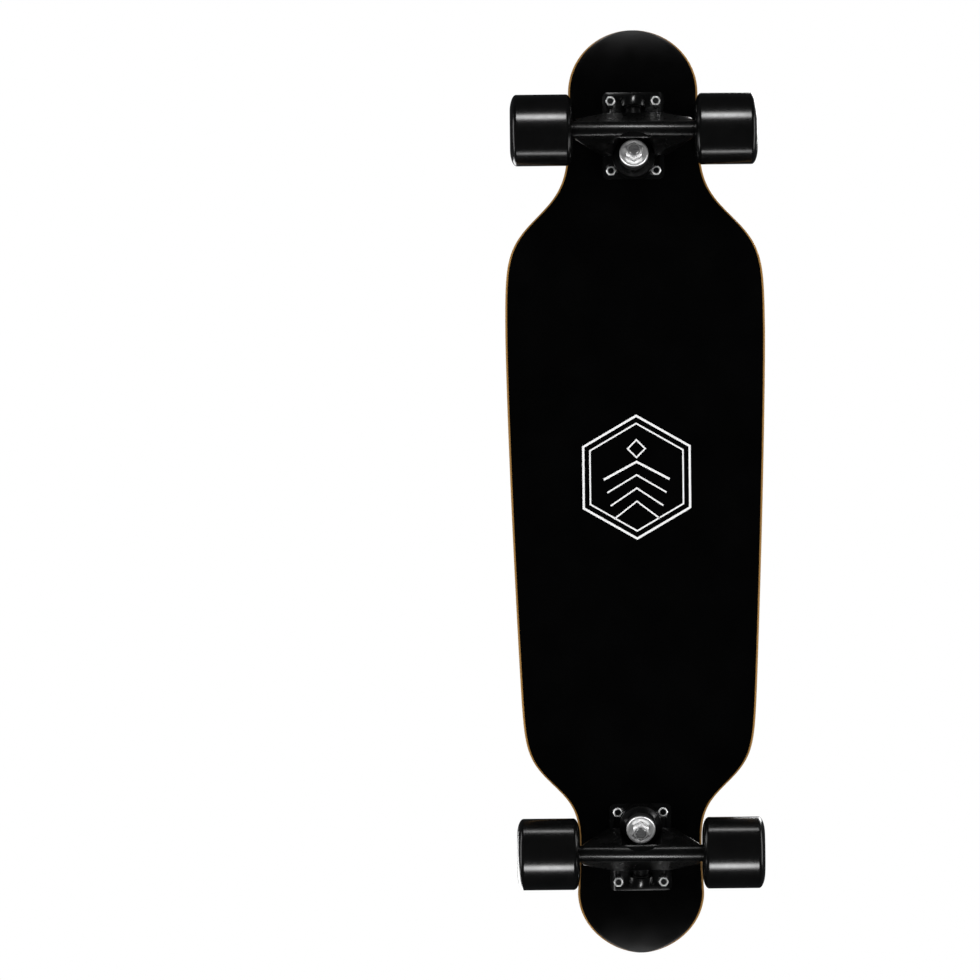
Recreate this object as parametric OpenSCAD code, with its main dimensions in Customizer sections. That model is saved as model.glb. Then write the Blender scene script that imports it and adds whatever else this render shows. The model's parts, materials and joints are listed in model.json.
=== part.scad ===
// Carving longboard with traditional-kingpin trucks.
// The board stands on its wheels on z = 0, runs along Y with its nose toward -Y,
// and its origin is the bottom centre of its bounding box.

/* [Deck] */
// Length of the board from tip to tip
board_l = 841; // [720:1:1010]
// Greatest width, ahead of the middle
body_w = 237; // [200:1:280]
// Width of the neck at the front truck
front_neck_w = 118; // [104:1:140]
// Width of the neck at the rear truck
rear_neck_w = 115; // [100:1:134]
// Distance from a tip to the middle of its truck
overhang = 96.5; // [82:0.5:116]
// Thickness of the maple laminate
deck_t = 11; // [9:0.5:13]
// Thickness of the grip tape
grip_t = 0.8; // [0.6:0.1:1.2]
// Width of the bare rounded-over edge
edge_round = 1.8; // [1:0.1:3]
// Rise of the middle over the trucks
camber = 7; // [0:0.5:14]
// Rise of the edges over the middle
concave = 4; // [0:0.5:8]
// Rise of the nose and of the tail
tip_lift = 7; // [0:0.5:14]

/* [Wheels] */
// Diameter of a wheel
wheel_d = 65; // [54:1:76]
// Width of a wheel
wheel_w = 57; // [46:1:62]
// Width of the flat contact patch
contact_w = 45; // [34:1:45]

/* [Trucks] */
// Width of the hanger over its two bearing shoulders
hanger_w = 142; // [136:1:171]
// Depth of the axle below the underside of the deck
axle_drop = 57; // [54:0.5:69]
// Tilt of the kingpin from upright
kingpin_tilt = 18; // [14:1:22]
// Width of a baseplate
base_w = 56; // [54:1:66]
// Length of a baseplate
base_l = 79; // [78:1:92]
// Thickness of a riser pad
riser_t = 3; // [2:0.5:6]

/* [Hidden] */
$fn = 64;

// Ends and sides of the board, as signs along Y and X
FRONT = -1;
REAR = 1;
LEFT = 1;
RIGHT = -1;

// Colours
maple = "#b8773c";
grip_black = "#232325";
truck_black = "#1b1b1d";
rubber_black = "#2a2a2c";
steel = "#c4c6c9";
zinc = "#dadcdf";
wheel_black = "#131315";
core_grey = "#5d6166";
bushing_black = "#26282c";

// Clearances
press_gap = 0.02;
run_gap = 0.05;
slip_gap = 0.2;
body_gap = 0.3;
pocket_gap = 0.25;
cone_gap = 0.8;
overcut = 1;

// Heights
wheel_r = wheel_d / 2;
deck_z = wheel_r + axle_drop;
wheelbase = board_l - 2 * overhang;

// Outline of the deck, measured from the middle toward the nose
tip_share = 0.998;
nose_arc = 57;
tail_arc = 55;
tail_power = 0.55;
nose_power = 0.5;
shoulder_in = 73.5;
rear_shoulder_in = 56;
shoulder_run = 15;
rear_shoulder_run = 12.5;
widest_at = 146;
taper_fall = 7.3;
taper_run = 246;
taper_power = 1.4;
// Slope of the rear waist, where it starts behind the rear truck, and where it fades out
rear_waist = 0.055;
rear_waist_start = 42;
waist_margin = 12;

// Flat seat of a truck on the deck
seat_half = 45;

// Sections of the deck
mid_steps = 56;
tip_steps = 11;
row_steps = 6;

// Truck mounting pattern, and its hardware
hole_dx = 41.3;
hole_dy = 63.5;
bolt_r = 2.4;
bolt_hole_r = bolt_r + slip_gap;
bolt_head_r = 4.1;
bolt_head_cone = bolt_head_r - bolt_r;
bolt_sink = 0.1;
socket_af = 3.2;
socket_depth = 2;
bolt_tail = 2.4;
mount_nut_af = 8;
mount_nut_t = 4.4;
mount_collar_t = 1.2;
collar_step = 0.4;
base_t = 5;
base_corner = 5;

// Kingpin and its stack, as distances along the kingpin from the middle of the ring
ring_u = -20.5;
ring_over_axle = 27;
ring_drop = axle_drop - ring_over_axle;
ring_half_t = 3;
ring_r = 19;
ring_bore_r = 8.5;
pocket_r = ring_r + pocket_gap;
kingpin_r = 4.75;
kingpin_hole_r = kingpin_r + slip_gap;
kingpin_af = 14.3;
washer_r = 13.25;
washer_t = 1.6;
washer_rim = 1.5;
road_bushing_t = 9.5;
road_bushing_r = 12;
bushing_r = 13;
bushing_bulge = 0.8;
boss_drop = 4.5;
board_washer_s = boss_drop - (ring_drop - riser_t - base_t) / cos(kingpin_tilt);
board_bushing_t = -board_washer_s - washer_t - ring_half_t;
road_washer_s = ring_half_t + road_bushing_t;
nut_s = road_washer_s + washer_t;
kingpin_nut_t = 6.2;
kingpin_collar_t = 1.4;
kingpin_tail = 2;
kingpin_end_s = nut_s + kingpin_nut_t + kingpin_collar_t + kingpin_tail;
boss_t = 4;
boss_r = 15;
head_s = board_washer_s - boss_t;
head_t = 4.2;

// Riser window over the kingpin head
window_w = 24;
window_rim = 2;
window_inner = -base_l / 2 + window_rim;
window_outer = -12;

// Pivot, as distances along the steering axis from the middle of the ring
pivot_boss_s = 48.3;
pivot_boss_l = 8;
pivot_boss_r = 11;
pivot_web_half = 8.5;
cup_r = 7.8;
cup_l = 7.3;
cup_wall = 1.6;
pivot_r = 5.5;
pivot_l = 5.4;
arm_r = 9.5;
arm_s = 34;
arm_neck_r = 6.5;

// Hanger
axle_u = 4.7;
axle_r = 3.97;
tube_r = 7.7;
tube_in = 11;
tube_half = hanger_w / 2 - tube_in;
shoulder_r = 6.2;
web_gap = 2;
web_outer_u = 20.6;
web_inner_u = -18;
web_outer_half = 26;
web_inner_half = 30;
web_low_rise = 2;
web_low = ring_drop - web_low_rise;
web_low_t = 3;
web_end_outer_u = 15;
web_end_inner_u = -4;
web_end_rise = 12;
web_end_t = 1;
web_end_low = axle_drop - web_end_rise;

// Scallop in the tube, which lets a wrench reach the kingpin nut
scallop_r = 22;
scallop_edge_u = 3.1;
scallop_skin = 0.3;

// Bearings
bearing_w = 7;
bearing_r = 11;
race_in_r = 4;
inner_race_r = 5.65;
outer_race_in_r = 9.35;
pitch_r = 7.5;
ball_r = 1.984;
groove_r = ball_r + run_gap;
balls = 7;
shield_t = 0.3;
shield_inset = 0.2;
cage_half = 2.3;
cage_in_r = 6.9;
cage_out_r = 8.1;
spacer_l = 10;
spacer_r = 5;
speed_washer_t = 1;
speed_washer_r = 5.6;
axle_nut_af = 12.7;
axle_nut_t = 6;
axle_collar_t = 1.5;
axle_tail = 2.5;

// Wheels
bearing_far = spacer_l / 2 + bearing_w;
wheel_x = hanger_w / 2 + speed_washer_t + bearing_far;
wheel_inner_x = wheel_x - wheel_w / 2;
web_half = wheel_inner_x - web_gap;
axle_half = wheel_x + bearing_far + speed_washer_t + axle_nut_t + axle_collar_t + axle_tail;
core_r = 15.5;
core_proud = 1;
core_half = bearing_far + core_proud;
core_step_r = 9.2;
recess_r = 17;
dome_steps = 8;

// ---- Deck surfaces ----

// One below 0 and none above 0, passing softly
function fade(d, run) = 1 / (1 + exp(d / run));

// Half width of the deck between its tip arcs, at a distance toward the nose
function waist_half(s) =
    let(
        mid = min(1, max(0, (s + wheelbase / 2 - waist_margin) / (wheelbase - 2 * waist_margin))),
        waist_run = max(0, s + wheelbase / 2 + rear_waist_start),
        rear_neck = rear_neck_w / 2 - rear_waist * waist_run * (1 - mid),
        neck = s > 0 ? front_neck_w / 2 : rear_neck,
        body = body_w / 2 - taper_fall * pow(max(0, widest_at - s) / taper_run, taper_power),
        front = fade(s - (wheelbase / 2 - shoulder_in), shoulder_run),
        rear = fade(-s - (wheelbase / 2 - rear_shoulder_in), rear_shoulder_run)
    )
    neck + (body - neck) * (s > 0 ? front : rear);

// Share of the width left in a tip arc, where t runs from 0 at its start to 1 at the tip
function tip_half(t, power) = pow(1 - pow(tip_share * max(0, t), 2), power);

// Half width of the deck anywhere
function deck_half(s) =
    let(
        nose_t = (s - board_l / 2 + nose_arc) / nose_arc,
        tail_t = (-s - board_l / 2 + tail_arc) / tail_arc
    )
    waist_half(s) * tip_half(nose_t, nose_power) * tip_half(tail_t, tail_power);

// Part of the way from the seat of a truck to the middle of the board
function bow(s) = pow(1 - pow(min(1, abs(s) / (wheelbase / 2 - seat_half)), 2), 2);

// Part of the way from the seat of a truck to the tip, squared for a soft start
function kick(s) = pow(max(0, abs(s) - wheelbase / 2 - seat_half) / (overhang - seat_half), 2);

// Height of the deck's surfaces over its seats
function rise(x, s) = (camber + concave * pow(2 * x / body_w, 2)) * bow(s) + tip_lift * kick(s);

// Places of the sections: close together in the tip arcs
tip_places = [for (i = [0:tip_steps]) sin(90 * i / tip_steps)];
stations = concat(
    [for (i = [tip_steps:-1:1]) -board_l / 2 + tail_arc * (1 - tip_places[i])],
    [for (i = [0:mid_steps])
        -board_l / 2 + tail_arc + (board_l - tail_arc - nose_arc) * i / mid_steps],
    [for (i = [1:tip_steps]) board_l / 2 - nose_arc * (1 - tip_places[i])]
);

// Points across one section, from its left to its right, at a height over the underside
function row(s, height) =
    let(half = deck_half(s) - edge_round)
    [for (i = [0:row_steps])
        let(x = half * (2 * i / row_steps - 1))
        [x, -s, deck_z + height + rise(x, s)]];

// Point on the side of one section
function side(s, sign, height) =
    let(half = deck_half(s))
    [[sign * half, -s, deck_z + height + rise(half, s)]];

function reversed(list) = [for (i = [len(list) - 1:-1:0]) list[i]];

function deck_section(s) = concat(
    row(s, deck_t),
    side(s, 1, deck_t - edge_round),
    side(s, 1, edge_round),
    reversed(row(s, 0)),
    side(s, -1, edge_round),
    side(s, -1, deck_t - edge_round)
);

function grip_section(s) = concat(row(s, deck_t + grip_t), reversed(row(s, deck_t)));

// Flat end of a skin: a strip between its upper and lower rows, and a piece for each side
function cap(n) =
    let(
        skirt = n / 2 - row_steps - 1,
        low = n - skirt - 1,
        strip = [for (i = [0:row_steps - 1]) [i, i + 1, low - i - 1, low - i]],
        right = [for (k = [row_steps:low - row_steps]) k],
        left = concat([for (k = [low:n - 1]) k], [0])
    )
    skirt > 0 ? concat(strip, [right, left]) : strip;

// Solid skin over sections with the same number of points.
// Its upper and lower rows split their squares the same way, so stacked skins meet face to face.
module loft(sections) {
    n = len(sections[0]);
    last = len(sections) - 1;
    points = [for (section = sections) each section];
    walls = [for (j = [0:last - 1], k = [0:n - 1])
        let(
            a = j * n + k,
            b = j * n + (k + 1) % n,
            c = b + n,
            d = a + n
        )
        each k < row_steps ? [[a, b, c], [a, c, d]] : [[a, b, d], [b, c, d]]];
    start = [for (face = cap(n)) reversed(face)];
    end = [for (face = cap(n)) [for (k = face) last * n + k]];
    polyhedron(points, concat(start, end, walls), convexity = 6);
}

// ---- Places ----

// Truck frame: origin on the underside of the deck, +Y toward the nearer tip
module at_truck(end) {
    translate([0, end * wheelbase / 2, deck_z])
        rotate([0, 0, end == REAR ? 0 : 180])
            children();
}

// Z along the kingpin, away from the deck, from the middle of the ring
module on_kingpin() {
    translate([0, ring_u, -ring_drop])
        rotate([180 + kingpin_tilt, 0, 0])
            children();
}

// Z along the steering axis, toward the pivot, from the middle of the ring
module on_steering_axis() {
    translate([0, ring_u, -ring_drop])
        rotate([kingpin_tilt - 90, 0, 0])
            children();
}

// Z along the axle
module on_axle() {
    translate([0, axle_u, -axle_drop])
        rotate([0, 90, 0])
            children();
}

// Both wheel places on one axle
module at_both_wheels() {
    for (side = [LEFT, RIGHT])
        on_axle()
            translate([0, 0, side * wheel_x])
                children();
}

// One wheel place of the board
module at_wheel(end, side) {
    turned = end == REAR ? side : -side;
    at_truck(end)
        on_axle()
            translate([0, 0, turned * wheel_x])
                children();
}

module at_bearings() {
    for (side = [-1, 1])
        translate([0, 0, side * (spacer_l + bearing_w) / 2])
            children();
}

module at_mounting_holes() {
    for (x = [-1, 1], y = [-1, 1])
        translate([x * hole_dx / 2, y * hole_dy / 2, 0])
            children();
}

// ---- Shapes ----

module hexagon(af, h) {
    cylinder(r = af / sqrt(3), h = h, $fn = 6);
}

module ring(r_out, r_in, h) {
    difference() {
        cylinder(r = r_out, h = h);
        translate([0, 0, -overcut])
            cylinder(r = r_in, h = h + 2 * overcut);
    }
}

// Lock nut with a round collar, standing on z = 0
module lock_nut(af, h, collar_h, bore_r) {
    difference() {
        union() {
            hexagon(af, h);
            cylinder(r = af / 2 - collar_step, h = h + collar_h);
        }
        translate([0, 0, -overcut])
            cylinder(r = bore_r, h = h + collar_h + 2 * overcut);
    }
}

module rounded_slab(w, l, h, corner) {
    for (x = [-1, 1], y = [-1, 1])
        translate([x * (w / 2 - corner), y * (l / 2 - corner), 0])
            cylinder(r = corner, h = h);
    translate([-w / 2, -l / 2 + corner, 0])
        cube([w, l - 2 * corner, h]);
    translate([-w / 2 + corner, -l / 2, 0])
        cube([w - 2 * corner, l, h]);
}

// ---- Deck ----

module bolt_sinks() {
    for (end = [FRONT, REAR])
        at_truck(end)
            at_mounting_holes() {
                translate([0, 0, -overcut])
                    cylinder(r = bolt_hole_r, h = deck_t + 2 * overcut);
                translate([0, 0, deck_t - bolt_head_cone - slip_gap])
                    cylinder(r1 = bolt_r, r2 = bolt_head_r + slip_gap, h = bolt_head_cone + slip_gap);
                translate([0, 0, deck_t])
                    cylinder(r = bolt_head_r + slip_gap, h = grip_t + overcut);
            }
}

module deck() {
    color(maple)
        difference() {
            loft([for (s = stations) deck_section(s)]);
            bolt_sinks();
        }
}

module grip_tape() {
    color(grip_black)
        difference() {
            loft([for (s = stations) grip_section(s)]);
            bolt_sinks();
        }
}

// ---- Truck mounting ----

module riser_pad(end) {
    color(rubber_black)
        at_truck(end)
            difference() {
                translate([0, 0, -riser_t])
                    rounded_slab(base_w, base_l, riser_t, base_corner);
                at_mounting_holes()
                    translate([0, 0, -riser_t - overcut])
                        cylinder(r = bolt_hole_r, h = riser_t + 2 * overcut);
                translate([-window_w / 2, window_inner, -riser_t - overcut])
                    cube([window_w, window_outer - window_inner, riser_t + 2 * overcut]);
            }
}

module mounting_bolts(end) {
    head_z = deck_t + grip_t - bolt_sink;
    end_z = -riser_t - base_t - mount_nut_t - mount_collar_t - bolt_tail;
    color(zinc)
        at_truck(end)
            at_mounting_holes()
                difference() {
                    union() {
                        translate([0, 0, end_z])
                            cylinder(r = bolt_r, h = head_z - end_z);
                        translate([0, 0, deck_t - bolt_head_cone])
                            cylinder(r1 = bolt_r, r2 = bolt_head_r, h = bolt_head_cone);
                        translate([0, 0, deck_t])
                            cylinder(r = bolt_head_r, h = grip_t - bolt_sink);
                    }
                    translate([0, 0, head_z - socket_depth])
                        hexagon(socket_af, socket_depth + overcut);
                }
}

module mounting_nuts(end) {
    color(zinc)
        at_truck(end)
            at_mounting_holes()
                translate([0, 0, -riser_t - base_t])
                    mirror([0, 0, 1])
                        lock_nut(mount_nut_af, mount_nut_t, mount_collar_t, bolt_r + press_gap);
}

module baseplate(end) {
    color(truck_black)
        at_truck(end)
            difference() {
                union() {
                    translate([0, 0, -riser_t - base_t])
                        rounded_slab(base_w, base_l, base_t, base_corner);
                    intersection() {
                        union() {
                            on_kingpin()
                                translate([0, 0, board_washer_s - 3 * boss_t])
                                    cylinder(r = boss_r, h = 3 * boss_t);
                            on_steering_axis()
                                translate([0, 0, pivot_boss_s]) {
                                    cylinder(r = pivot_boss_r, h = pivot_boss_l);
                                    translate([-pivot_web_half, -axle_drop, 0])
                                        cube([2 * pivot_web_half, axle_drop, pivot_boss_l]);
                                }
                        }
                        translate([-base_w / 2, -base_l / 2, -axle_drop])
                            cube([base_w, base_l, axle_drop - riser_t]);
                    }
                }
                at_mounting_holes()
                    translate([0, 0, -riser_t - base_t - overcut])
                        cylinder(r = bolt_hole_r, h = base_t + 2 * overcut);
                on_kingpin() {
                    translate([0, 0, head_s - overcut])
                        cylinder(r = kingpin_hole_r, h = boss_t + 2 * overcut);
                    translate([0, 0, head_s - 4 * head_t])
                        cylinder(r = kingpin_af / sqrt(3) + slip_gap, h = 4 * head_t);
                }
                on_steering_axis()
                    translate([0, 0, pivot_boss_s - overcut])
                        cylinder(r = cup_r + press_gap, h = cup_l + overcut);
            }
}

module pivot_cup(end) {
    color(rubber_black)
        at_truck(end)
            on_steering_axis()
                translate([0, 0, pivot_boss_s])
                    difference() {
                        cylinder(r = cup_r, h = cup_l);
                        translate([0, 0, -overcut])
                            cylinder(r = pivot_r + run_gap, h = cup_l - cup_wall + overcut);
                    }
}

// ---- Kingpin stack ----

module kingpin(end) {
    color(steel)
        at_truck(end)
            on_kingpin() {
                translate([0, 0, head_s - head_t])
                    hexagon(kingpin_af, head_t);
                translate([0, 0, head_s - head_t])
                    cylinder(r = kingpin_r, h = kingpin_end_s - head_s + head_t);
            }
}

module kingpin_nut(end) {
    color(zinc)
        at_truck(end)
            on_kingpin()
                translate([0, 0, nut_s])
                    rotate([0, 0, 30])
                        lock_nut(kingpin_af, kingpin_nut_t, kingpin_collar_t, kingpin_r + press_gap);
}

module bushing_washers(end) {
    color(zinc)
        at_truck(end)
            on_kingpin() {
                translate([0, 0, board_washer_s])
                    ring(washer_r, kingpin_hole_r, washer_t);
                translate([0, 0, road_washer_s])
                    ring(washer_r, kingpin_hole_r, washer_t);
                translate([0, 0, road_washer_s - washer_rim])
                    ring(washer_r, road_bushing_r + slip_gap, washer_rim);
            }
}

module road_bushing(end) {
    color(bushing_black)
        at_truck(end)
            on_kingpin()
                translate([0, 0, ring_half_t])
                    difference() {
                        union() {
                            cylinder(r1 = bushing_r, r2 = road_bushing_r, h = road_bushing_t - washer_rim);
                            cylinder(r = road_bushing_r, h = road_bushing_t);
                        }
                        translate([0, 0, -overcut])
                            cylinder(r = kingpin_hole_r, h = road_bushing_t + 2 * overcut);
                    }
}

module board_bushing(end) {
    half = board_bushing_t / 2;
    color(bushing_black)
        at_truck(end)
            on_kingpin()
                translate([0, 0, -ring_half_t - half])
                    difference() {
                        union()
                            for (turn = [0, 180])
                                rotate([turn, 0, 0])
                                    cylinder(r1 = bushing_r + bushing_bulge, r2 = bushing_r, h = half);
                        translate([0, 0, -half - overcut])
                            cylinder(r = kingpin_hole_r, h = board_bushing_t + 2 * overcut);
                    }
}

// ---- Hanger and axle ----

// Flat slab of the web, from its outer edge to its inner edge, at a depth
module web_slab(outer_half, outer_u, inner_half, inner_u, low) {
    translate([0, 0, -low - web_low_t])
        linear_extrude(web_low_t)
            polygon([
                [-outer_half, outer_u],
                [outer_half, outer_u],
                [inner_half, inner_u],
                [-inner_half, inner_u]
            ]);
}

// Gable of metal that falls from the axle tube to both sides
module hanger_web() {
    end_half = web_half - web_end_t;
    hull() {
        on_axle()
            translate([0, 0, -web_half])
                cylinder(r = tube_r, h = 2 * web_half, $fn = 32);
        web_slab(web_outer_half, web_outer_u, web_inner_half, web_inner_u, web_low);
        web_slab(end_half, web_end_outer_u, end_half, web_end_inner_u, web_end_low);
    }
}

// Hanger without its tube, cut out round the kingpin stack
module hanger_body() {
    difference() {
        union() {
            hanger_web();
            on_kingpin()
                translate([0, 0, -ring_half_t])
                    cylinder(r = ring_r, h = 2 * ring_half_t);
            on_steering_axis() {
                translate([0, 0, ring_r / 2])
                    cylinder(r = arm_r, h = arm_s - ring_r / 2);
                translate([0, 0, arm_s])
                    cylinder(r1 = arm_r, r2 = arm_neck_r, h = pivot_boss_s - cone_gap - arm_s);
                translate([0, 0, arm_s])
                    cylinder(r = pivot_r, h = pivot_boss_s + pivot_l - arm_s);
            }
        }
        on_kingpin() {
            translate([0, 0, ring_half_t])
                cylinder(r = pocket_r, h = axle_drop);
            translate([0, 0, -ring_half_t - axle_drop])
                cylinder(r = pocket_r, h = axle_drop);
            translate([0, 0, -ring_half_t - overcut])
                cylinder(r = ring_bore_r, h = 2 * ring_half_t + 2 * overcut);
        }
    }
}

module hanger(end) {
    color(truck_black)
        at_truck(end)
            difference() {
                union() {
                    hanger_body();
                    on_axle() {
                        translate([0, 0, -tube_half])
                            cylinder(r = tube_r, h = 2 * tube_half);
                        translate([0, 0, -hanger_w / 2])
                            cylinder(r = shoulder_r, h = hanger_w);
                    }
                }
                translate([0, scallop_edge_u - scallop_r, -axle_drop - 2 * tube_r])
                    cylinder(r = scallop_r, h = 2 * tube_r - axle_r - scallop_skin);
                on_axle()
                    translate([0, 0, -hanger_w])
                        cylinder(r = axle_r + press_gap, h = 2 * hanger_w);
            }
}

module axle(end) {
    color(steel)
        at_truck(end)
            on_axle()
                translate([0, 0, -axle_half])
                    cylinder(r = axle_r, h = 2 * axle_half);
}

module axle_nuts(end) {
    color(zinc)
        at_truck(end)
            on_axle()
                for (side = [0, 1])
                    mirror([0, 0, side])
                        translate([0, 0, wheel_x + bearing_far + speed_washer_t])
                            lock_nut(axle_nut_af, axle_nut_t, axle_collar_t, axle_r + press_gap);
}

module speed_washers(end) {
    color(zinc)
        at_truck(end)
            at_both_wheels()
                for (z = [-bearing_far - speed_washer_t, bearing_far])
                    translate([0, 0, z])
                        ring(speed_washer_r, race_in_r, speed_washer_t);
}

module bearing_spacers(end) {
    color(steel)
        at_truck(end)
            at_both_wheels()
                translate([0, 0, -spacer_l / 2])
                    ring(spacer_r, race_in_r, spacer_l);
}

module inner_races(end) {
    color(steel)
        at_truck(end)
            at_both_wheels()
                at_bearings()
                    rotate_extrude()
                        difference() {
                            translate([race_in_r, -bearing_w / 2])
                                square([inner_race_r - race_in_r, bearing_w]);
                            translate([pitch_r, 0])
                                circle(r = groove_r);
                        }
}

// ---- Wheels ----

// Half of the tread profile, from the middle to the mouth of the recess
function dome() = [for (i = [0:dome_steps])
    [
        recess_r + (wheel_r - recess_r) * cos(90 * i / dome_steps),
        (contact_w + (wheel_w - contact_w) * sin(90 * i / dome_steps)) / 2
    ]];

module wheel(end, side) {
    color(wheel_black)
        at_wheel(end, side)
            difference() {
                rotate_extrude()
                    polygon(concat(
                        [[core_r, -wheel_w / 2]],
                        [for (p = reversed(dome())) [p[0], -p[1]]],
                        dome(),
                        [[core_r, wheel_w / 2]]
                    ));
                for (turn = [0, 180])
                    rotate([turn, 0, 0])
                        translate([0, 0, core_half])
                            cylinder(r1 = core_r, r2 = recess_r, h = wheel_w / 2 - core_half);
            }
}

module core(end, side) {
    color(core_grey)
        at_wheel(end, side)
            difference() {
                translate([0, 0, -core_half])
                    cylinder(r = core_r, h = 2 * core_half);
                translate([0, 0, -core_half - overcut])
                    cylinder(r = core_step_r, h = 2 * core_half + 2 * overcut);
                for (turn = [0, 180])
                    rotate([turn, 0, 0])
                        translate([0, 0, spacer_l / 2])
                            cylinder(r = bearing_r, h = bearing_far);
            }
}

module outer_races(end, side) {
    color(steel)
        at_wheel(end, side)
            at_bearings()
                rotate_extrude()
                    difference() {
                        translate([outer_race_in_r, -bearing_w / 2])
                            square([bearing_r - outer_race_in_r, bearing_w]);
                        translate([pitch_r, 0])
                            circle(r = groove_r);
                    }
}

module shields(end, side) {
    color(rubber_black)
        at_wheel(end, side)
            at_bearings()
                for (turn = [0, 180])
                    rotate([turn, 0, 0])
                        translate([0, 0, bearing_w / 2 - shield_inset - shield_t])
                            ring(outer_race_in_r - press_gap, inner_race_r + body_gap, shield_t);
}

module at_balls() {
    for (i = [0:balls - 1])
        rotate([0, 0, i * 360 / balls])
            translate([pitch_r, 0, 0])
                children();
}

module ball_set(end, side) {
    color(steel)
        at_wheel(end, side)
            at_bearings()
                at_balls()
                    sphere(r = ball_r, $fn = 32);
}

module cages(end, side) {
    color(zinc)
        at_wheel(end, side)
            at_bearings()
                difference() {
                    translate([0, 0, -cage_half])
                        ring(cage_out_r, cage_in_r, 2 * cage_half);
                    at_balls()
                        rotate([0, 90, 0])
                            cylinder(r = groove_r, h = 4 * (cage_out_r - cage_in_r), center = true);
                }
}

// ---- Nodes ----

deck();
grip_tape();
riser_pad(FRONT);  // front_riser_pad
baseplate(FRONT);  // front_baseplate
mounting_bolts(FRONT);  // front_mounting_bolts
mounting_nuts(FRONT);  // front_mounting_nuts
pivot_cup(FRONT);  // front_pivot_cup
kingpin(FRONT);  // front_kingpin
kingpin_nut(FRONT);  // front_kingpin_nut
bushing_washers(FRONT);  // front_bushing_washers
road_bushing(FRONT);  // front_road_bushing
board_bushing(FRONT);  // front_board_bushing
hanger(FRONT);  // front_hanger
axle(FRONT);  // front_axle
axle_nuts(FRONT);  // front_axle_nuts
speed_washers(FRONT);  // front_speed_washers
bearing_spacers(FRONT);  // front_bearing_spacers
inner_races(FRONT);  // front_inner_races
riser_pad(REAR);  // rear_riser_pad
baseplate(REAR);  // rear_baseplate
mounting_bolts(REAR);  // rear_mounting_bolts
mounting_nuts(REAR);  // rear_mounting_nuts
pivot_cup(REAR);  // rear_pivot_cup
kingpin(REAR);  // rear_kingpin
kingpin_nut(REAR);  // rear_kingpin_nut
bushing_washers(REAR);  // rear_bushing_washers
road_bushing(REAR);  // rear_road_bushing
board_bushing(REAR);  // rear_board_bushing
hanger(REAR);  // rear_hanger
axle(REAR);  // rear_axle
axle_nuts(REAR);  // rear_axle_nuts
speed_washers(REAR);  // rear_speed_washers
bearing_spacers(REAR);  // rear_bearing_spacers
inner_races(REAR);  // rear_inner_races
wheel(FRONT, LEFT);  // front_left_wheel
core(FRONT, LEFT);  // front_left_core
outer_races(FRONT, LEFT);  // front_left_outer_races
shields(FRONT, LEFT);  // front_left_shields
ball_set(FRONT, LEFT);  // front_left_balls
cages(FRONT, LEFT);  // front_left_cages
wheel(FRONT, RIGHT);  // front_right_wheel
core(FRONT, RIGHT);  // front_right_core
outer_races(FRONT, RIGHT);  // front_right_outer_races
shields(FRONT, RIGHT);  // front_right_shields
ball_set(FRONT, RIGHT);  // front_right_balls
cages(FRONT, RIGHT);  // front_right_cages
wheel(REAR, LEFT);  // rear_left_wheel
core(REAR, LEFT);  // rear_left_core
outer_races(REAR, LEFT);  // rear_left_outer_races
shields(REAR, LEFT);  // rear_left_shields
ball_set(REAR, LEFT);  // rear_left_balls
cages(REAR, LEFT);  // rear_left_cages
wheel(REAR, RIGHT);  // rear_right_wheel
core(REAR, RIGHT);  // rear_right_core
outer_races(REAR, RIGHT);  // rear_right_outer_races
shields(REAR, RIGHT);  // rear_right_shields
ball_set(REAR, RIGHT);  // rear_right_balls
cages(REAR, RIGHT);  // rear_right_cages
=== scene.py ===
"""Carving longboard: the looks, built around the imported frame.

Lengths are in millimetres inside the shape functions and in metres everywhere else.
"""
import json
import math
import bmesh
import bpy
from mathutils import Matrix, Vector


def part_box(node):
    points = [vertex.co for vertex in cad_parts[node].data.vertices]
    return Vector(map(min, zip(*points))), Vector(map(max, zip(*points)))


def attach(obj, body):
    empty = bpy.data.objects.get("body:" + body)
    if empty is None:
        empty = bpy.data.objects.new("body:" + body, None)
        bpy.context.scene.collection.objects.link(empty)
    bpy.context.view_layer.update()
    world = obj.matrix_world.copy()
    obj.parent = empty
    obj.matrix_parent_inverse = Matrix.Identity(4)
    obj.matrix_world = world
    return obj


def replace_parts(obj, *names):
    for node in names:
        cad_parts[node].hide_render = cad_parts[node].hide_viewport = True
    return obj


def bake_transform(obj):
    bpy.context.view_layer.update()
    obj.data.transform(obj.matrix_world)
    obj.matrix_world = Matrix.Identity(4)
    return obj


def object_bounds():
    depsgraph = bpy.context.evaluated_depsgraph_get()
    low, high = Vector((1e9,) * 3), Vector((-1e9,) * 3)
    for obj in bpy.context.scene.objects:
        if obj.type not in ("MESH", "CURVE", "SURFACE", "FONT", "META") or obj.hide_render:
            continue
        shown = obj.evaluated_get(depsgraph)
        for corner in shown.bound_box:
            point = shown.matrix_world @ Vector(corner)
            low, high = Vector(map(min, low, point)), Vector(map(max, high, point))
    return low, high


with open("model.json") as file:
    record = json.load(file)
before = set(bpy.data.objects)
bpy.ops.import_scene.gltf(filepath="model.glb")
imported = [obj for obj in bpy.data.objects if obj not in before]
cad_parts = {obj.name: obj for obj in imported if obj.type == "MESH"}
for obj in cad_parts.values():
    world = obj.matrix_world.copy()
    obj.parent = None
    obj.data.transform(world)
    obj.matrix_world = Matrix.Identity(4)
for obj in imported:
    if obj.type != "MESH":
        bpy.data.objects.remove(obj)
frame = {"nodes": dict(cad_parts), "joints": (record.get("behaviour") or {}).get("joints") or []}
CAD_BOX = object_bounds()

MM = 0.001
ENDS = {"front": -1, "rear": 1}
SIDES = {"left": 1, "right": -1}

# ---- Sizes taken from the frame, in millimetres ----

def box_mm(node):
    """Lowest and highest corner of a CAD node."""
    return [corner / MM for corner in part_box(node)]


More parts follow.
